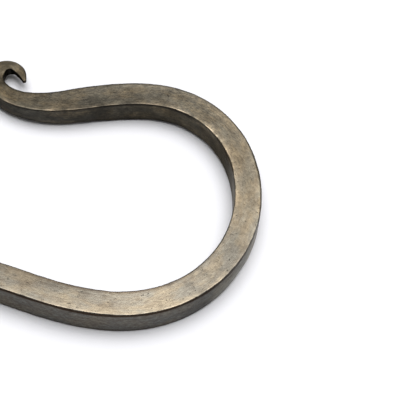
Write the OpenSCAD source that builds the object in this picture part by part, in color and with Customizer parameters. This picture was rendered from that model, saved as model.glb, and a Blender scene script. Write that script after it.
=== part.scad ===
// Hand-forged S hook: one square steel bar bent into two opposed hooks.
// Each end is drawn out to a thin taper and rolled outward into a small scroll.
// The other hook is this one turned half round, as on any S hook.
// The hook lies flat. The origin is the middle of the bar on the resting face,
// +X runs along the load line through both hooks, and +Z points up.

/* [Bar] */
// Side of the square bar
bar = 6.35; // [5:0.05:9]
// Radius worn onto the bar's four long edges
arris_r = 0.4; // [0.1:0.05:1]
// Straight length on each side of the middle, before the bends begin
spine_half = 6; // [1:0.5:20]

/* [Hooks] */
// Inside radius at the lead bend, between the straight middle and the crown
lead_r = 23.1; // [16:0.1:32]
// Angle turned from the straight middle to the lead bend
lead_angle = 32.5; // [25:0.5:42]
// Inside radius at the hook's crown, its widest sweep
crown_r = 36.8; // [26:0.1:46]
// Angle turned from the lead bend to the crown
crown_angle = 80.5; // [70:0.5:90]
// Inside radius at the shoulder, the tightest bend of the hook
shoulder_r = 17.3; // [12:0.1:26]
// Angle turned from the crown to the shoulder
shoulder_angle = 67; // [58:0.5:76]
// Width of the bar at the shoulder, where drawing it out begins to spread it
shoulder_w = 6.8; // [5.5:0.05:7.5]
// Height of the bar at the shoulder
shoulder_h = 6.15; // [5:0.05:6.3]
// Angle turned from the shoulder to the throat, where the bend reverses
throat_angle = 32; // [25:0.5:40]
// Width of the bar at the throat
throat_w = 6.95; // [5.5:0.05:7.5]
// Height of the bar at the throat
throat_h = 5.7; // [4.6:0.05:6]

/* [Scroll ends] */
// Inside radius of the outward flare beyond the throat
flare_r = 7.6; // [5:0.1:10]
// Angle turned from the throat to the flare
flare_angle = 62; // [54:0.5:70]
// Width of the drawn bar at the flare
flare_w = 4.65; // [3.8:0.05:5.4]
// Height of the drawn bar at the flare
flare_h = 3.9; // [3.2:0.05:4.8]
// Inside radius at the neck of the scroll
neck_r = 2.5; // [1.9:0.05:4.4]
// Angle turned from the flare to the neck
neck_angle = 56.5; // [48:0.5:64]
// Width of the drawn bar at the neck
neck_w = 4.6; // [3.6:0.05:5.2]
// Height of the drawn bar at the neck
neck_h = 2.5; // [2.1:0.05:3.2]
// Inside radius of the scroll's eye
eye_r = 1.15; // [1:0.05:2]
// Angle turned from the neck to the back of the eye
curl_angle = 89.5; // [78:0.5:98]
// Width of the drawn bar at the back of the eye
curl_w = 2.75; // [2.2:0.05:3.2]
// Height of the drawn bar at the back of the eye
curl_h = 2.3; // [1.7:0.05:2.8]
// Inside radius at the root of the point, where the curl opens
roll_r = 3.3; // [2.5:0.1:5]
// Angle turned round the top of the eye
roll_angle = 32.5; // [26:0.5:40]
// Width of the drawn bar at the root of the point
point_w = 2.7; // [2:0.05:3.1]
// Height of the drawn bar at the root of the point
point_h = 1.5; // [1.1:0.05:1.9]
// Angle turned along the point, which ends straight
point_angle = 25; // [18:0.5:32]
// Width of the blunt tip
tip_w = 1; // [0.6:0.05:1.4]
// Height of the blunt tip
tip_h = 0.95; // [0.7:0.05:1.4]

/* [Quality] */
// Largest angle between two sections along the bend
section_angle = 4.5; // [3.5:0.5:9]
// Largest distance between two sections
section_gap = 3; // [2:0.5:6]
// Facets round each long edge
arris_steps = 2; // [1:1:3]

/* [Hidden] */

bar_colour = [0.42, 0.38, 0.33];

// The stations of one half, from the end of the straight middle to the tip. The bar bends
// round on the hook's inner side, then the other way in the scroll.
// Each is [turn from the last station, side, inside radius, width, height];
// a radius of 0 marks a place where the bar is straight.
inward = 1;
outward = -1;
stations = [
    [0, inward, 0, bar, bar],
    [lead_angle, inward, lead_r, bar, bar],
    [crown_angle, inward, crown_r, bar, bar],
    [shoulder_angle, inward, shoulder_r, shoulder_w, shoulder_h],
    [throat_angle, inward, 0, throat_w, throat_h],
    [flare_angle, outward, flare_r, flare_w, flare_h],
    [neck_angle, outward, neck_r, neck_w, neck_h],
    [curl_angle, outward, eye_r, curl_w, curl_h],
    [roll_angle, outward, roll_r, point_w, point_h],
    [point_angle, outward, 0, tip_w, tip_h]
];
spans = len(stations) - 1;
radian = 180 / PI;

function turn(i) = stations[i][0] * stations[i][1];
// Curvature of the centreline, in turns to the left per millimetre
function curvature(i) =
    stations[i][2] == 0 ? 0 : stations[i][1] / (stations[i][2] + stations[i][3] / 2);
// Between two stations the curvature changes evenly, which fixes the length
function span_length(i) =
    2 * stations[i + 1][0] / radian / abs(curvature(i) + curvature(i + 1));

lengths = [for (i = [0:spans - 1]) span_length(i)];
headings = [for (i = 0, h = 0; i <= spans; i = i + 1, h = h + (i <= spans ? turn(i) : 0)) h];

// Width (column 3) and height (column 4) pass smoothly through every station
// without overshooting: the slope at each is the harmonic mean of its two sides.
function side_slope(i, column) = (stations[i + 1][column] - stations[i][column]) / lengths[i];
function mean_slope(a, b) = a * b <= 0 ? 0 : 2 * a * b / (a + b);
function slope(i, column) =
    i == 0 ? 0 :
    i == spans ? side_slope(i - 1, column) :
    mean_slope(side_slope(i - 1, column), side_slope(i, column));
function smooth(i, t, column) =
    stations[i][column] * (1 + 2 * t) * pow(1 - t, 2)
    + stations[i + 1][column] * pow(t, 2) * (3 - 2 * t)
    + lengths[i] * t * (1 - t) * (slope(i, column) * (1 - t) - slope(i + 1, column) * t);

function heading_at(i, t) =
    headings[i] + radian * lengths[i] * t
        * (curvature(i) + (curvature(i + 1) - curvature(i)) * t / 2);

// A section's middle above the resting face: the underside leaves that face slowly as the bar
// is drawn down, and the tip ends level with the middle of the bar.
function middle_z(h) = h / 2 + pow(bar - h, 2) / (2 * (bar - tip_h));

// Sections in span i, and one row per section, with the middle's first:
// [heading, width, height]
function sections_in(i) = ceil(max(stations[i + 1][0] / section_angle, lengths[i] / section_gap));
rows = [
    [0, bar, bar],
    for (i = [0:spans - 1], k = [0:sections_in(i) - 1])
        let (t = k / sections_in(i))
            [heading_at(i, t), smooth(i, t, 3), smooth(i, t, 4)],
    [headings[spans], tip_w, tip_h]
];
// The steps between sections, each along the heading halfway through it
steps = [
    [spine_half, 0],
    for (i = [0:spans - 1], k = [0:sections_in(i) - 1])
        let (n = sections_in(i), a = heading_at(i, (k + 0.5) / n))
            lengths[i] / n * [cos(a), sin(a)]
];
centres = [
    for (i = 0, p = [0, 0]; i <= len(steps); p = p + (i < len(steps) ? steps[i] : [0, 0]), i = i + 1) p
];

// The load line runs from the middle to the farthest point of the hook
reach = max([for (c = centres) norm(c)]);
farthest = [for (c = centres) if (norm(c) == reach) c][0];
load_angle = atan2(farthest.y, farthest.x);
function on_load_line(p) =
    [p.x * cos(load_angle) + p.y * sin(load_angle), p.y * cos(load_angle) - p.x * sin(load_angle)];

// The bar's long edges and the edge of its cut tip are worn round, on a thin section
// by no more than a share of its thinner side
worn_share = 0.3;
function worn_r(w, h) = min(arris_r, worn_share * min(w, h));

// Places of one half's sections: [centre, middle height, heading, width, height]
tip_heading = headings[spans] - load_angle;
tip_centre = on_load_line(centres[len(centres) - 1]);
tip_r = worn_r(tip_w, tip_h);
tip_round = [
    for (k = [1:arris_steps])
        let (a = 90 * k / arris_steps, inset = tip_r * (1 - cos(a)))
            [
                tip_centre + tip_r * sin(a) * [cos(tip_heading), sin(tip_heading)],
                middle_z(tip_h),
                tip_heading,
                tip_w - 2 * inset,
                tip_h - 2 * inset
            ]
];
half = concat(
    [for (i = [0:len(rows) - 1])
        let (row = rows[i])
            [on_load_line(centres[i]), middle_z(row[2]), row[0] - load_angle, row[1], row[2]]],
    tip_round
);
// The other half is this one turned half round about Z, which only moves the centres
other_half = [
    for (i = [len(half) - 1:-1:1])
        let (place = half[i])
            [-place[0], place[1], place[2], place[3], place[4]]
];

// One section: a rectangle with round corners, square to the bar
function section(centre, z, heading, w, h) = [
    for (q = [0:3], k = [0:arris_steps])
        let (
            r = worn_r(w, h),
            a = 90 * (q + k / arris_steps),
            across = (q == 0 || q == 3 ? 1 : -1) * (w / 2 - r) + r * cos(a),
            up = (q < 2 ? 1 : -1) * (h / 2 - r) + r * sin(a)
        )
            [centre.x - across * sin(heading), centre.y + across * cos(heading), z + up]
];
rings = [
    for (place = concat(other_half, half))
        section(place[0], place[1], place[2], place[3], place[4])
];
sides = len(rings[0]);

module s_hook() {
    last = len(rings) - 1;
    walls = [
        for (i = [0:last - 1], k = [0:sides - 1])
            let (
                a = i * sides + k,
                b = i * sides + (k + 1) % sides,
                c = b + sides,
                d = a + sides
            )
                each [[a, b, c], [a, c, d]]
    ];
    start_cap = [[for (k = [sides - 1:-1:0]) k]];
    end_cap = [[for (k = [0:sides - 1]) last * sides + k]];
    color(bar_colour)
        polyhedron(points = [for (ring = rings) each ring], faces = concat(walls, start_cap, end_cap));
}

s_hook();
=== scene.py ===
"""Looks of the hand-forged S hook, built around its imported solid.

The bar is swept again from the part's own sizes, as a finer mesh that carries the
marks of the hammer, uneven arrises and a browned skin. It replaces the plain solid.
"""

import math

import bpy
import numpy as np
from mathutils import Matrix, Vector, noise


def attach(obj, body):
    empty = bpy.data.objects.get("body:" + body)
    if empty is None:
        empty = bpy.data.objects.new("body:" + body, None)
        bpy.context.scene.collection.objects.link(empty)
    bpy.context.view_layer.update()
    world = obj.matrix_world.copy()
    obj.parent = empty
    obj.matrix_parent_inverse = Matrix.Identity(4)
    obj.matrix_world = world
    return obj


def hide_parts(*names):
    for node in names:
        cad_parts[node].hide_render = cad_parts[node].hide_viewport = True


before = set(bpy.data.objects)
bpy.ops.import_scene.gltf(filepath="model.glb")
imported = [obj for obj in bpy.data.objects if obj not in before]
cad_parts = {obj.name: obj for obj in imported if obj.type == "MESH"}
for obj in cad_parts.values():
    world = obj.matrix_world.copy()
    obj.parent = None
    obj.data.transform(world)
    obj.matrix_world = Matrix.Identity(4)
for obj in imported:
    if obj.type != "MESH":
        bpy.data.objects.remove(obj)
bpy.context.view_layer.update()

MM = 0.001

# ---------------------------------------------------------------- the part's sizes, mm
BAR = 6.35
ARRIS_R = 0.4
SPINE_HALF = 6.0
INWARD = 1
OUTWARD = -1
# Each station: turn from the last one, side, inside radius (0 = straight), width, height
STATIONS = (
    (0, INWARD, 0, BAR, BAR),
    (32.5, INWARD, 23.1, BAR, BAR),
    (80.5, INWARD, 36.8, BAR, BAR),
    (67, INWARD, 17.3, 6.8, 6.15),
    (32, INWARD, 0, 6.95, 5.7),
    (62, OUTWARD, 7.6, 4.65, 3.9),
    (56.5, OUTWARD, 2.5, 4.6, 2.5),
    (89.5, OUTWARD, 1.15, 2.75, 2.3),
    (32.5, OUTWARD, 3.3, 2.7, 1.5),
    (25, OUTWARD, 0, 1.0, 0.95),
)
TIP_WIDTH, TIP_HEIGHT = STATIONS[-1][3:]
# Direction of the load line, from the straight middle of the bar
LOAD_ANGLE = math.radians(62.792)

# ---------------------------------------------------------------- the sweep
# The rings of a span lie at most this far apart, and turn by at most this many degrees on average
RING_GAP = 0.45
RING_TURN = 2.5
# Points round each arris
CORNER_POINTS = 7
# Points on a flat side: a few at these distances from each arris, and more spread evenly between
BESIDE_ARRIS = (0.1, 0.25, 0.5, 0.8)
SIDE_POINTS = 8
# Radius worn onto the edge of the cut tip, and the rings that round it
TIP_R = 0.28
TIP_STEPS = 5


def span_shape():
    """Curvature at each station, length of each span and slopes of width and height."""
    curve = [side / (r + w / 2) if r else 0.0 for _, side, r, w, _ in STATIONS]
    spans = range(len(STATIONS) - 1)
    length = [2 * math.radians(STATIONS[i + 1][0]) / abs(curve[i] + curve[i + 1]) for i in spans]

    def slopes(column):
        side = [(STATIONS[i + 1][column] - STATIONS[i][column]) / length[i] for i in spans]
        inner = [0.0 if a * b <= 0 else 2 * a * b / (a + b) for a, b in zip(side, side[1:])]
        return [0.0] + inner + [side[-1]]

    return curve, length, slopes(3), slopes(4)


def middle_z(height):
    """Height of a section's middle: the underside leaves the floor slowly as the bar is drawn down."""
    return height / 2 + (BAR - height) ** 2 / (2 * (BAR - TIP_HEIGHT))


def bend(run, curves, t):
    """Angle turned in share t of a span, where the curvature changes evenly."""
    return run * t * (curves[0] + (curves[1] - curves[0]) * t / 2)


def smooth(run, values, slopes, t):
    """A width or height at share t of a span, which passes smoothly through its stations."""
    value = values[0] * (1 + 2 * t) * (1 - t) ** 2 + values[1] * t * t * (3 - 2 * t)
    return value + run * t * (1 - t) * (slopes[0] * (1 - t) - slopes[1] * t)


def half_bar():
    """Rows (s, x, y, heading, width, height) from the middle of the bar to its cut tip."""
    curve, length, w_slope, h_slope = span_shape()
    *_, widths, heights = zip(*STATIONS)
    rows = []
    straight_rings = math.ceil(SPINE_HALF / RING_GAP)
    for k in range(straight_rings):
        s = SPINE_HALF * k / straight_rings
        rows.append((s, s, 0.0, 0.0, BAR, BAR))
    start = SPINE_HALF
    heading = 0.0
    x = SPINE_HALF
    y = 0.0
    for i, run in enumerate(length):
        ends = slice(i, i + 2)
        n = math.ceil(max(STATIONS[i + 1][0] / RING_TURN, run / RING_GAP))
        for k in range(n):
            t = k / n
            width = smooth(run, widths[ends], w_slope[ends], t)
            height = smooth(run, heights[ends], h_slope[ends], t)
            rows.append((start + run * t, x, y, heading + bend(run, curve[ends], t), width, height))
            ahead = heading + bend(run, curve[ends], (k + 0.5) / n)
            x += run / n * math.cos(ahead)
            y += run / n * math.sin(ahead)
        start += run
        heading += bend(run, curve[ends], 1.0)
    rows.append((start, x, y, heading, TIP_WIDTH, TIP_HEIGHT))
    return rows


def whole_bar():
    """Rows (s, x, y, z, heading, width, height) from one tip to the other.

    They are turned so that the load line lies along X. The far half is the near one
    turned half round about Z, so only its place changes sign.
    """
    c = math.cos(LOAD_ANGLE)
    sn = math.sin(LOAD_ANGLE)
    half = [
        (s, x * c + y * sn, y * c - x * sn, middle_z(t), h - LOAD_ANGLE, w, t)
        for s, x, y, h, w, t in half_bar()
    ]
    s, x, y, z, h, w, t = half[-1]
    for k in range(1, TIP_STEPS + 1):
        angle = math.pi / 2 * k / TIP_STEPS
        ahead = TIP_R * math.sin(angle)
        less = 2 * TIP_R * (1 - math.cos(angle))
        half.append((s + ahead, x + ahead * math.cos(h), y + ahead * math.sin(h), z, h, w - less, t - less))
    return [(-s, -x, -y, z, h, w, t) for s, x, y, z, h, w, t in half[:0:-1]] + half


# ---------------------------------------------------------------- marks of the forge, mm
# The four arrises of a section, as (side, top or underside)
CORNERS = ((1, 1), (-1, 1), (-1, -1), (1, -1))
# The edge value where a round arris ends, and the distance in which it fades on the flat side
EDGE_AT_END = 0.4
EDGE_FADE = 0.8
# The skin lies at least this far inside the solid's flat sides, so that it stays inside its box
SKIN_CLEARANCE = 0.01
HAMMER_DEPTH = 0.07
PLANISH_DEPTH = 0.04
NICK_DEPTH = 0.11
# A bar thinner than this has shallower marks
FULL_DEPTH_BAR = 3.0
# How gently a mark begins
DENT_RIM = 0.3
# Layers of noise for each kind of mark: (weight, size in mm, seed)
HAMMER_NOISE = ((1.0, 6.0, 1), (0.6, 3.1, 2))
PLANISH_NOISE = ((1.0, 1.3, 7),)
NICK_NOISE = ((1.0, 2.2, 9), (0.6, 1.0, 13))
ARRIS_NOISE = ((1.0, 7.0, 3), (0.5, 2.6, 11))
# How far each seed moves the pattern along and across, in marks
SEED_SHIFT = (17.3, 5.1)
# Radius of each long edge by distance from the middle of the bar, where it isn't the part's own.
# The hammer leaves some stretches nearly sharp, and the feet of the bends are worn round.
UPPER_INNER_R = (
    (0, 0.30), (6, 0.22), (38, 0.22), (50, ARRIS_R), (84, ARRIS_R), (90, 0.50), (104, 0.50), (114, 0.25),
    (136, 0.25), (146, ARRIS_R),
)
UPPER_OUTER_R = (
    (0, 0.30), (6, ARRIS_R), (70, ARRIS_R), (86, 0.7), (97, 0.65), (106, 0.18), (134, 0.20),
    (138, ARRIS_R), (143, 0.35), (150, 0.18), (156, ARRIS_R),
)
LOWER_INNER_R = (
    (84, ARRIS_R), (94, 1.1), (102, 1.5), (110, 1.45), (116, 1.2), (122, 0.6), (128, 0.6), (136, 1.4),
    (147, 1.5), (154, 1.0), (164, ARRIS_R),
)
LOWER_OUTER_R = (
    (44, ARRIS_R), (50, 0.85), (56, 1.3), (66, 1.4), (72, 0.5), (80, ARRIS_R),
)
# How much the radius wavers as a share of it, the least that it can be, and the most that it can
# be as a share of the section's thinner side
ARRIS_WAVE = 0.35
LEAST_ARRIS_R = 0.16
MOST_ARRIS_SHARE = 0.32


def along_table(along, table):
    """The value of a table at each distance from the middle of the bar."""
    return np.interp(along, *zip(*table))


def noise_at(place, size, seed):
    """Smooth noise from -1 to 1 whose marks are about `size` mm across."""
    x, y, z = place
    return noise.noise(Vector((x / size + seed * SEED_SHIFT[0], y / size + seed * SEED_SHIFT[1], z / size)))


def layered_noise(place, layers, first_seed=0):
    return sum(weight * noise_at(place, size, first_seed + seed) for weight, size, seed in layers)


def dent(value):
    """Depth of a mark where the noise is above zero; elsewhere the face stays whole."""
    return value * value / (value + DENT_RIM) if value > 0 else 0.0


def mark_depth(place, edge):
    """Depth of the hammer's marks and of the nicks at a place in the unbent bar."""
    hammer = dent(layered_noise(place, HAMMER_NOISE))
    planish = dent(layered_noise(place, PLANISH_NOISE))
    nick = dent(layered_noise(place, NICK_NOISE))
    return HAMMER_DEPTH * hammer + PLANISH_DEPTH * planish + NICK_DEPTH * edge * nick


def arris_radii(s, width, height):
    """Radius of each of a section's four arrises."""
    most = MOST_ARRIS_SHARE * min(width, height)
    radii = []
    for q, (side, top) in enumerate(CORNERS):
        inner = side * s > 0
        upper_r, lower_r = (UPPER_INNER_R, LOWER_INNER_R) if inner else (UPPER_OUTER_R, LOWER_OUTER_R)
        wave = layered_noise((s, 0, 0), ARRIS_NOISE, q)
        r = float(along_table(abs(s), upper_r if top > 0 else lower_r)) * (1 + ARRIS_WAVE * wave)
        radii.append(min(max(r, LEAST_ARRIS_R), most))
    return radii


def flat_places(run):
    """Distances along a flat side of length run, closer together beside the arrises."""
    beside = [d * min(1.0, run / 2) for d in BESIDE_ARRIS]
    inner = run - 2 * beside[-1]
    middle = [beside[-1] + inner * k / (SIDE_POINTS + 1) for k in range(1, SIDE_POINTS + 1)]
    return beside + middle + [run - d for d in reversed(beside)]


def section_outline(width, height, corner_r):
    """Points round one section: (across, up, out_across, out_up, edge).

    edge is 1 in the middle of a round corner and fades away on the flat sides.
    """
    points = []
    for q, (side, top) in enumerate(CORNERS):
        r = corner_r[q]
        centre = (side * (width / 2 - r), top * (height / 2 - r))
        for k in range(CORNER_POINTS):
            share = k / (CORNER_POINTS - 1)
            a = math.pi / 2 * (q + share)
            out = (math.cos(a), math.sin(a))
            edge = EDGE_AT_END + (1 - EDGE_AT_END) * math.sin(math.pi * share)
            points.append((centre[0] + r * out[0], centre[1] + r * out[1], *out, edge))
        next_side, next_top = CORNERS[(q + 1) % 4]
        r = corner_r[(q + 1) % 4]
        first = points[-1]
        last = (next_side * (width / 2 - r) + r * out[0], next_top * (height / 2 - r) + r * out[1])
        run = math.dist(first[:2], last)
        for along in flat_places(run):
            edge = EDGE_AT_END * max(0.0, 1 - min(along, run - along) / EDGE_FADE)
            spot = [first[j] + (last[j] - first[j]) * along / run for j in (0, 1)]
            points.append((*spot, *out, edge))
    return points


def forged_ring(s, x, y, z, heading, width, height):
    """One ring, a row per point: its place, its place in the unbent bar, its edge and side values.

    side is 0 on the top and the underside and 1 on the upright walls.
    """
    depth_share = min(1.0, min(width, height) / FULL_DEPTH_BAR)
    radii = arris_radii(s, width, height)
    ring = []
    for across, up, out_a, out_u, edge in section_outline(width, height, radii):
        dip = SKIN_CLEARANCE + depth_share * mark_depth((s, across, up), edge)
        a = across - out_a * dip
        u = up - out_u * dip
        place = (x - a * math.sin(heading), y + a * math.cos(heading), z + u)
        ring.append((*place, s, a, u, edge, abs(out_a)))
    return ring


# ---------------------------------------------------------------- how the skin has fared, and the light and shade painted on it
# Painted sheen and shade along the bar, partly the skin's own tone, by distance in mm from its middle:
# (distance, brightness, how much of the brown's blue is left)
FACE_TONE = (
    (10, 1.0, 1.1), (35, 1.6, 1.1), (60, 1.2, 1.1), (75, 1.7, 0.95), (98, 1.6, 0.95), (115, 1.1, 0.95),
    (135, 0.6, 0.95), (152, 0.9, 0.85), (160, 1.5, 0.8), (166, 0.6, 0.85),
)
# The same for the walls, mostly painted shade and reflection
WALL_TONE = (
    (0, 1.1, 1.4), (50, 1.2, 1.5), (67, 3.0, 1.4), (90, 0.5, 1.1), (115, 0.6, 0.9), (145, 0.4, 1.1),
    (168, 0.1, 1.1),
)
# Green takes this share of what happens to blue
GREEN_WITH_BLUE = 0.35
# The brown has a slight olive cast: how much more green it has
OLIVE = 1.015
# Painted reflection of the floor's light: how much brighter the skin is at the foot of a wall than at its
# middle
FOOT_GAIN = (
    (48, 0.0), (57, 2.5), (76, 0.0), (84, 0.0), (102, 2.0), (116, 0.0), (132, 0.0), (156, 7.0), (164, 0.0),
)
# How fast that gain fades upwards
FOOT_POWER = 3
# Painted sheen: how much brighter it is at the top of a wall than at its middle
TOP_GAIN = ((92, 0.0), (100, 1.0), (108, 0.0), (130, 0.0), (152, 0.8), (166, 0.0))
# Painted sheen and shade on a face: how much brighter its outer side is, and how much darker its middle is
OUTER_GAIN = (
    (0, 0.1), (12, 0.3), (28, 0.0), (60, -0.1), (70, 0.15), (82, 0.0), (104, 0.0), (118, 0.3), (142, 0.3),
    (150, -0.1), (168, 0.3),
)
MIDDLE_DIP = ((50, 0.0), (90, 0.4), (120, 0.3), (141, 0.0))
# How brightly each upper arris is rubbed, with a painted highlight on the rubbed steel
INNER_RUB_SHEEN = ((60, 0.0), (88, 1.0), (110, 0.8), (126, 0.1), (150, 1.1), (162, 0.2))
OUTER_RUB_SHEEN = ((0, 0.4), (50, 0.7), (70, 0.0))
# How much of that the face beside the arris takes
RUB_SHEEN_SPREAD = 0.3
# How dark each upper arris is where it turns from the light
INNER_RIM = ((0, 0.0), (18, 0.9), (44, 0.9), (66, 0.0))
OUTER_RIM = ((98, 0.0), (108, 0.9), (156, 0.9), (161, 0.0))
# Painted shade: how black the top of a wall is, just under its upper arris, and its foot just above the
# lower one
UNDER_ARRIS = ((48, 1.0), (84, 0.1), (102, 0.1), (110, 0.9), (130, 0.9), (148, 0.2), (158, 0.2), (166, 1.0))
OVER_LOWER_ARRIS = 0.2
# How plainly the hammer's marks show on the faces
HAMMER_MARKS = ((35, 0.0), (50, 0.4), (90, 0.5), (105, 1.0))
# Where the rub with its painted highlight and the painted shade of an arris begin and are whole: edge
# values, and side values across the arris
RUB_SHEEN_LINE_EDGE = (0.355, 0.46)
RUB_SHEEN_BESIDE_EDGE = (0.0, 0.40)
RUB_SHEEN_SIDE = (0.35, 0.65)
SHADE_LINE_EDGE = (0.14, 0.29)
SHADE_LINE_SIDE = (0.60, 0.90)
RIM_EDGE = (0.04, 0.46)


def ramp(value, begins, whole):
    return np.clip((value - begins) / (whole - begins), 0.0, 1.0)


def skin_wear_and_painted_light(space, edge, side):
    """At each point: how rubbed and highlit its arris is, how black it is with painted shade, how hammered
    its face is.
    """
    along = np.abs(space[:, 0])
    inner = space[:, 0] * space[:, 1] > 0
    upper = space[:, 2] > 0
    # How brightly each arris is rubbed, with its painted highlight
    rub_sheen = np.where(inner, along_table(along, INNER_RUB_SHEEN), along_table(along, OUTER_RUB_SHEEN))
    rub_sheen_shape = np.maximum(ramp(edge, *RUB_SHEEN_LINE_EDGE), RUB_SHEEN_SPREAD * ramp(edge, *RUB_SHEEN_BESIDE_EDGE))
    rubbed_sheen = rub_sheen * rub_sheen_shape * (1 - ramp(side, *RUB_SHEEN_SIDE))
    # Painted shade just under each upper arris and just above each lower one
    arris_shade = np.where(upper, along_table(along, UNDER_ARRIS), OVER_LOWER_ARRIS)
    arris_shade = arris_shade * ramp(edge, *SHADE_LINE_EDGE) * ramp(side, *SHADE_LINE_SIDE)
    rim = np.where(inner, along_table(along, INNER_RIM), along_table(along, OUTER_RIM))
    black = np.maximum(arris_shade, rim * upper * ramp(edge, *RIM_EDGE))
    marked = along_table(along, HAMMER_MARKS)
    return np.stack([rubbed_sheen, black, marked], axis=1)


def face_shading(space):
    """Painted light on a face: how its brightness changes from the inner side of the bend to the outer."""
    along = np.abs(space[:, 0])
    outer = -np.sign(space[:, 0]) * space[:, 1] / (BAR / 2)
    shading = 1 + outer * along_table(along, OUTER_GAIN)
    return shading * (1 - (1 - outer ** 2) * along_table(along, MIDDLE_DIP))


def wall_shading(space):
    """Painted light on a wall: how its brightness changes from its foot to its upper arris."""
    along = np.abs(space[:, 0])
    foot = np.clip(0.5 - space[:, 2] / BAR, 0.0, 1.0) ** FOOT_POWER
    top = np.clip(2 * space[:, 2] / BAR, 0.0, 1.0)
    return 1 + foot * along_table(along, FOOT_GAIN) + top * along_table(along, TOP_GAIN)


def table_tone(along, table, shading):
    """Colour factors at each point, from a tone table and a shading."""
    distance, brightness, blue_left = zip(*table)
    bright = np.interp(along, distance, brightness)
    blue = np.interp(along, distance, blue_left)
    green = OLIVE * (1 - GREEN_WITH_BLUE + GREEN_WITH_BLUE * blue)
    return np.stack([bright, bright * green, bright * blue], axis=1) * shading[:, None]


def skin_tone(space, side):
    """Colour factors at each point, painted sheen and shade with the skin's own tone: those of the faces
    pass into those of the walls round the arrises.
    """
    along = np.abs(space[:, 0])
    face = table_tone(along, FACE_TONE, face_shading(space))
    wall = table_tone(along, WALL_TONE, wall_shading(space))
    return face + side[:, None] * (wall - face)


# ---------------------------------------------------------------- the mesh
def ring_faces(rings, count):
    """Quads between neighbouring rings of `count` points each, and a cap at each end."""
    last = (rings - 1) * count
    faces = [
        (a, b, b + count, a + count)
        for start in range(0, last, count)
        for a, b in ((start + k, start + (k + 1) % count) for k in range(count))
    ]
    faces.append(tuple(range(count - 1, -1, -1)))
    faces.append(tuple(range(last, last + count)))
    return faces


def set_values(mesh, name, kind, field, values):
    mesh.attributes.new(name, kind, "POINT").data.foreach_set(field, values.ravel())


def forged_bar():
    """The whole bar as one closed mesh, in metres, in the frame of the part."""
    rings = [forged_ring(*row) for row in whole_bar()]
    points = np.array([point for ring in rings for point in ring])
    space = points[:, 3:6]
    edge = points[:, 6]
    side = points[:, 7]
    mesh = bpy.data.meshes.new("s_hook_forged")
    mesh.from_pydata((points[:, :3] * MM).tolist(), [], ring_faces(len(rings), len(rings[0])))
    mesh.polygons.foreach_set("use_smooth", [True] * len(mesh.polygons))
    set_values(mesh, "bar_space", "FLOAT_VECTOR", "vector", space)
    set_values(mesh, "tone", "FLOAT_VECTOR", "vector", skin_tone(space, side))
    set_values(mesh, "wear_and_painted_light", "FLOAT_VECTOR", "vector", skin_wear_and_painted_light(space, edge, side))
    set_values(mesh, "side", "FLOAT", "value", side)
    mesh.update()
    return mesh


# ---------------------------------------------------------------- the browned steel
def rgb(hex_code):
    """Linear colour from an sRGB colour such as "776b58"."""
    parts = [int(hex_code[i:i + 2], 16) / 255 for i in (0, 2, 4)]
    return (*[v / 12.92 if v <= 0.04045 else ((v + 0.055) / 1.055) ** 2.4 for v in parts], 1.0)


BROWN = rgb("776b58")
GREY_BROWN = rgb("6b6559")
# Darker skin: scale on the drawn and hammered bar, handled brown on the plain bar
SCALE_DARK = rgb("47443f")
PLAIN_DARK = rgb("4c4035")
# Rubbed bright steel, which also paints the highlight along the arrises
RUBBED_SHEEN = rgb("d2bd9f")
# The painted shade along the arrises: near black on the hammered bar, dark brown on the plain bar; the near
# black also darkens the pits
PIT_AND_SHADE_BLACK = rgb("1f1c1a")
PLAIN_SHADE_BROWN = rgb("2b1c11")
# Reflectance left at a grazing angle, where clean metal would turn white
GRAZING_TINT = (0.45, 0.44, 0.42, 1.0)
METALLIC = 0.92

# Layers of marks. Each pattern is scaled along, across and up, where a scale below 1 draws the
# marks out, and then shifted, so that no two layers match. The marks come in between the noise
# values low and high.
CLOUDY = dict(scale=(0.45, 1, 1), shift=0, size=3.2, low=0.36, high=0.62, detail=5.0, roughness=0.62)
PATCHES = dict(scale=(0.6, 1, 1), shift=40, size=2.4, low=0.46, high=0.70, detail=5.0, roughness=0.66)
STREAKS = dict(scale=(0.13, 1, 1), shift=65, size=1.0, low=0.38, high=0.66, detail=4.0, roughness=0.6)
GRAIN = dict(scale=(0.45, 1, 1), shift=90, size=0.45, low=0.30, high=0.70, detail=3.0, roughness=0.8)
PITS = dict(scale=(1, 1, 1), shift=140, size=0.7, low=0.66, high=0.76, detail=2.0, roughness=0.5)
DENTS = dict(scale=(0.75, 1, 1), shift=20, size=2.4, low=0.30, high=0.70, detail=6.0, roughness=0.78)
# The places where the arrises are rubbed bright and carry their painted highlight
RUB_SHEEN_PLACES = dict(scale=(1, 0.3, 0.3), shift=10, size=5.0, low=0.38, high=0.66, detail=3.0, roughness=0.55)

# How much of the darker skin each layer brings. Where the hammer has drawn the bar out, the walls
# keep more of the forge's scale than the faces do.
# Patches: on the plain bar and on the hammered bar, and how much more on a hammered wall
PATCH_DEPTH = (0.26, 0.42)
HAMMERED_WALL_PATCHES = 0.33
# Streaks: elsewhere and on a hammered wall, and how much more on any wall
STREAK_DEPTH = (0.25, 0.55)
WALL_STREAKS = 0.15
# Grain: on a plain face and on a wall, and how near a hammered face comes to a wall
GRAIN_DEPTH = (0.44, 0.90)
HAMMERED_FACE_GRAIN = 0.65
PIT_DEPTH = 0.38
# How much a dent darkens or lightens the hammered bar
DENT_SHADE = 0.25
# How fully the rubbed steel with its painted highlight, and the black of the painted shade, cover the skin
# of an arris
RUB_SHEEN_STRENGTH = 0.6
BLACK_STRENGTH = 0.9
# Roughness between the patches and on them, and how much smoother a rubbed arris is
ROUGHNESS = (0.30, 0.42)
RUB_POLISH = 0.08
# Height of the relief in mm, and how high the grain stands against the depth of the pits
RELIEF = 0.03
GRAIN_RELIEF = 0.5


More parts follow.
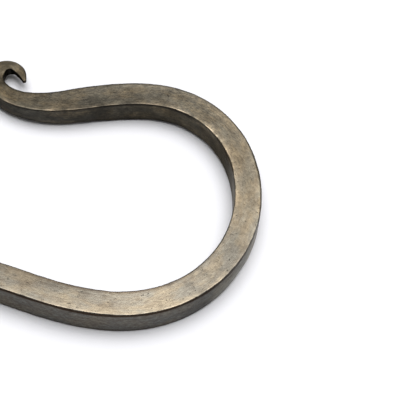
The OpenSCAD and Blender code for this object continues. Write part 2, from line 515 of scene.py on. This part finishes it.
def add(tree, kind, inputs=None, **settings):
    """A shader node with its settings, its sockets set to values or linked to other sockets."""
    made = tree.nodes.new(kind)
    for name, value in settings.items():
        setattr(made, name, value)
    for name, value in (inputs or {}).items():
        if isinstance(value, bpy.types.NodeSocket):
            tree.links.new(value, made.inputs[name])
        else:
            made.inputs[name].default_value = value
    return made


def attribute(tree, name, output):
    """What the mesh keeps at each point under this name."""
    return add(tree, "ShaderNodeAttribute", attribute_name=name).outputs[output]


def arithmetic(tree, operation, a, b):
    return add(tree, "ShaderNodeMath", {0: a, 1: b}, operation=operation).outputs[0]


def times(tree, a, b):
    return arithmetic(tree, "MULTIPLY", a, b)


def plus(tree, a, b):
    return arithmetic(tree, "ADD", a, b)


def remap(tree, value, low, high, to_low=0.0, to_high=1.0):
    """The value, taken smoothly from the range low to high into another range."""
    made = add(tree, "ShaderNodeMapRange", {
        "Value": value, "From Min": low, "From Max": high, "To Min": to_low, "To Max": to_high,
    }, interpolation_type="SMOOTHSTEP")
    return made.outputs["Result"]


def marks(tree, place, scale, shift, size, low, high, detail, roughness):
    """A mask from 0 to 1, of noise marks about `size` mm across."""
    drawn_out = add(tree, "ShaderNodeMapping", {
        "Vector": place, "Scale": scale, "Location": (shift, shift, shift),
    })
    cloud = add(tree, "ShaderNodeTexNoise", {
        "Vector": drawn_out.outputs["Vector"], "Scale": 1.0 / size, "Detail": detail, "Roughness": roughness,
    })
    return remap(tree, cloud.outputs["Fac"], low, high)


def blend_colour(tree, factor, a, b):
    """Colour a where the factor is 0 and b where it is 1; a Mix node has its colours in sockets 6 and 7."""
    made = add(tree, "ShaderNodeMix", {0: factor, 6: a, 7: b}, data_type="RGBA")
    return made.outputs[2]


def stain(tree, colour, mask, depth, other):
    """The colour, with as much of the other one as the mask and its depth give."""
    return blend_colour(tree, times(tree, mask, depth), colour, other)


def mottled_colour(tree, place, marked, side, patches, grain, pits):
    """Brown skin with its patches, streaks, grain and pits."""
    hammered_wall = times(tree, side, marked)
    patch_depth = remap(tree, marked, 0.0, 1.0, *PATCH_DEPTH)
    patch_depth = plus(tree, patch_depth, times(tree, hammered_wall, HAMMERED_WALL_PATCHES))
    streak_depth = remap(tree, hammered_wall, 0.0, 1.0, *STREAK_DEPTH)
    streak_depth = plus(tree, streak_depth, times(tree, side, WALL_STREAKS))
    coarse = arithmetic(tree, "MAXIMUM", side, times(tree, marked, HAMMERED_FACE_GRAIN))
    grain_depth = remap(tree, coarse, 0.0, 1.0, *GRAIN_DEPTH)
    dark = blend_colour(tree, marked, PLAIN_DARK, SCALE_DARK)
    colour = blend_colour(tree, marks(tree, place, **CLOUDY), BROWN, GREY_BROWN)
    colour = stain(tree, colour, patches, patch_depth, dark)
    colour = stain(tree, colour, marks(tree, place, **STREAKS), streak_depth, dark)
    colour = stain(tree, colour, grain, grain_depth, dark)
    return stain(tree, colour, pits, PIT_DEPTH, PIT_AND_SHADE_BLACK)


def toned_colour(tree, colour, place, marked):
    """The colour with the painted sheen and shade along the bar and the skin's own tone, darkened or
    lightened at the hammer's dents.
    """
    tone = attribute(tree, "tone", "Vector")
    toned = add(tree, "ShaderNodeVectorMath", {0: colour, 1: tone}, operation="MULTIPLY").outputs["Vector"]
    dents = remap(tree, marks(tree, place, **DENTS), 0.0, 1.0, -DENT_SHADE, DENT_SHADE)
    shade = plus(tree, times(tree, dents, marked), 1.0)
    return add(tree, "ShaderNodeVectorMath", {0: toned, "Scale": shade}, operation="SCALE").outputs["Vector"]


def browned_steel():
    """Satin browned steel: mottled, streaked on its sides, pitted, toned with painted sheen and shade,
    rubbed bright with painted highlights on its edges, and painted black with shade along them.
    """
    material = bpy.data.materials.new("browned_steel")
    material.use_nodes = True
    tree = material.node_tree
    tree.nodes.clear()
    place = attribute(tree, "bar_space", "Vector")
    side = attribute(tree, "side", "Fac")
    # Rub with its painted highlight, painted black shade of the arrises, and hammer marks
    wear_and_painted_light = attribute(tree, "wear_and_painted_light", "Vector")
    rub_sheen, black, marked = add(tree, "ShaderNodeSeparateXYZ", {"Vector": wear_and_painted_light}).outputs
    patches = marks(tree, place, **PATCHES)
    grain = marks(tree, place, **GRAIN)
    pits = marks(tree, place, **PITS)
    # Rubbed steel and its painted highlight, in places along each arris
    rubbed_sheen = times(tree, rub_sheen, marks(tree, place, **RUB_SHEEN_PLACES))

    colour = mottled_colour(tree, place, marked, side, patches, grain, pits)
    colour = toned_colour(tree, colour, place, marked)
    # Each arris is rubbed bright, with a painted highlight, on the face's side of it, and painted black with
    # shade below that
    colour = stain(tree, colour, rubbed_sheen, RUB_SHEEN_STRENGTH, RUBBED_SHEEN)
    colour = stain(tree, colour, black, BLACK_STRENGTH, blend_colour(tree, marked, PLAIN_SHADE_BROWN, PIT_AND_SHADE_BLACK))

    rough = remap(tree, patches, 0.0, 1.0, *ROUGHNESS)
    rough = arithmetic(tree, "SUBTRACT", rough, times(tree, rubbed_sheen, RUB_POLISH))
    height = arithmetic(tree, "SUBTRACT", times(tree, grain, GRAIN_RELIEF), pits)
    relief = add(tree, "ShaderNodeBump", {"Height": height, "Distance": RELIEF * MM, "Strength": 1.0})
    skin = add(tree, "ShaderNodeBsdfPrincipled", {
        "Base Color": colour, "Metallic": METALLIC, "Roughness": rough,
        "Normal": relief.outputs["Normal"], "Specular Tint": GRAZING_TINT,
    })
    add(tree, "ShaderNodeOutputMaterial", {"Surface": skin.outputs["BSDF"]})
    return material


# ---------------------------------------------------------------- the studio
# The floor, in metres: half its side, and how far it lies below the hook
FLOOR_HALF = 2.5
FLOOR_DROP = 0.02 * MM
FLOOR_WHITE = (0.86, 0.86, 0.87, 1.0)
FLOOR_ROUGHNESS = 0.9
# The soft box overhead, seen from the camera: its lean, and the cosines of the angles from its
# middle at which it ends and at which it is whole
BOX_LEAN_RIGHT = math.radians(3)
BOX_LEAN_AWAY = math.radians(12)
BOX_EDGE = math.cos(math.radians(40))
BOX_CORE = math.cos(math.radians(16))
BOX_GLOW = 4.45
HORIZON_GLOW = 0.18
SKY_TINT = (1.0, 1.0, 1.02, 1.0)


def studio_floor():
    """A matt white square."""
    mesh = bpy.data.meshes.new("floor")
    corners = ((-1, -1), (1, -1), (1, 1), (-1, 1))
    mesh.from_pydata([(x * FLOOR_HALF, y * FLOOR_HALF, -FLOOR_DROP) for x, y in corners], [], [(0, 1, 2, 3)])
    material = bpy.data.materials.new("floor_white")
    material.use_nodes = True
    paint = material.node_tree.nodes["Principled BSDF"]
    paint.inputs["Base Color"].default_value = FLOOR_WHITE
    paint.inputs["Roughness"].default_value = FLOOR_ROUGHNESS
    paint.inputs["Specular IOR Level"].default_value = 0.0
    mesh.materials.append(material)
    return mesh


def soft_sky(turn):
    """A soft box overhead that fades to a dim horizon: radiance by direction."""
    world = bpy.data.worlds.new("studio")
    world.use_nodes = True
    tree = world.node_tree
    tree.nodes.clear()
    direction = add(tree, "ShaderNodeTexCoord").outputs["Generated"]
    lean = Vector((math.sin(BOX_LEAN_RIGHT), math.sin(BOX_LEAN_AWAY), 1.0)).normalized()
    lean.rotate(Matrix.Rotation(turn, 3, "Z"))
    facing = add(tree, "ShaderNodeVectorMath", {0: direction, 1: lean}, operation="DOT_PRODUCT")
    glow = remap(tree, facing.outputs["Value"], BOX_EDGE, BOX_CORE, HORIZON_GLOW, BOX_GLOW)
    light = add(tree, "ShaderNodeBackground", {"Color": SKY_TINT, "Strength": glow})
    add(tree, "ShaderNodeOutputWorld", {"Surface": light.outputs["Background"]})
    bpy.context.scene.world = world


# ---------------------------------------------------------------- the camera
# Where it stands: its turn about Z, its height over the floor, its distance from the aim and its roll
VIEW_TURN = LOAD_ANGLE - math.radians(14.205)
ELEVATION = math.radians(52.10)
DISTANCE = 50.56 * BAR * MM
ROLL = math.radians(6.89)
# Sensor width and focal length, mm
SENSOR = 36.0
LENS = 119.3
# The aim, from the middle of the bar, along the view's right and away from it
AIM_RIGHT = 7.289 * BAR * MM
AIM_AWAY = 4.578 * BAR * MM


def show(name, data):
    """A new object in the scene."""
    made = bpy.data.objects.new(name, data)
    bpy.context.scene.collection.objects.link(made)
    return made


def aim_camera():
    """The scene's camera, aimed from above at the near hook."""
    lens = bpy.data.cameras.new("camera")
    lens.sensor_width = SENSOR
    lens.lens = LENS
    camera = show("camera", lens)
    right = Vector((math.cos(VIEW_TURN), -math.sin(VIEW_TURN), 0.0))
    away = Vector((math.sin(VIEW_TURN), math.cos(VIEW_TURN), 0.0))
    aim = right * AIM_RIGHT + away * AIM_AWAY
    back = (Vector((0, 0, math.sin(ELEVATION))) - away * math.cos(ELEVATION)).normalized()
    turned = Matrix((right, back.cross(right), back)).transposed()
    camera.matrix_world = (
        Matrix.Translation(aim + back * DISTANCE)
        @ turned.to_4x4()
        @ Matrix.Rotation(ROLL, 4, "Z")
    )
    bpy.context.scene.camera = camera


# ---------------------------------------------------------------- put together
hook = show("s_hook_forged", forged_bar())
hook.data.materials.append(browned_steel())
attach(hook, "root")
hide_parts("s_hook")

floor = show("floor", studio_floor())
soft_sky(-VIEW_TURN)
aim_camera()
bpy.context.scene.view_settings.view_transform = "Standard"
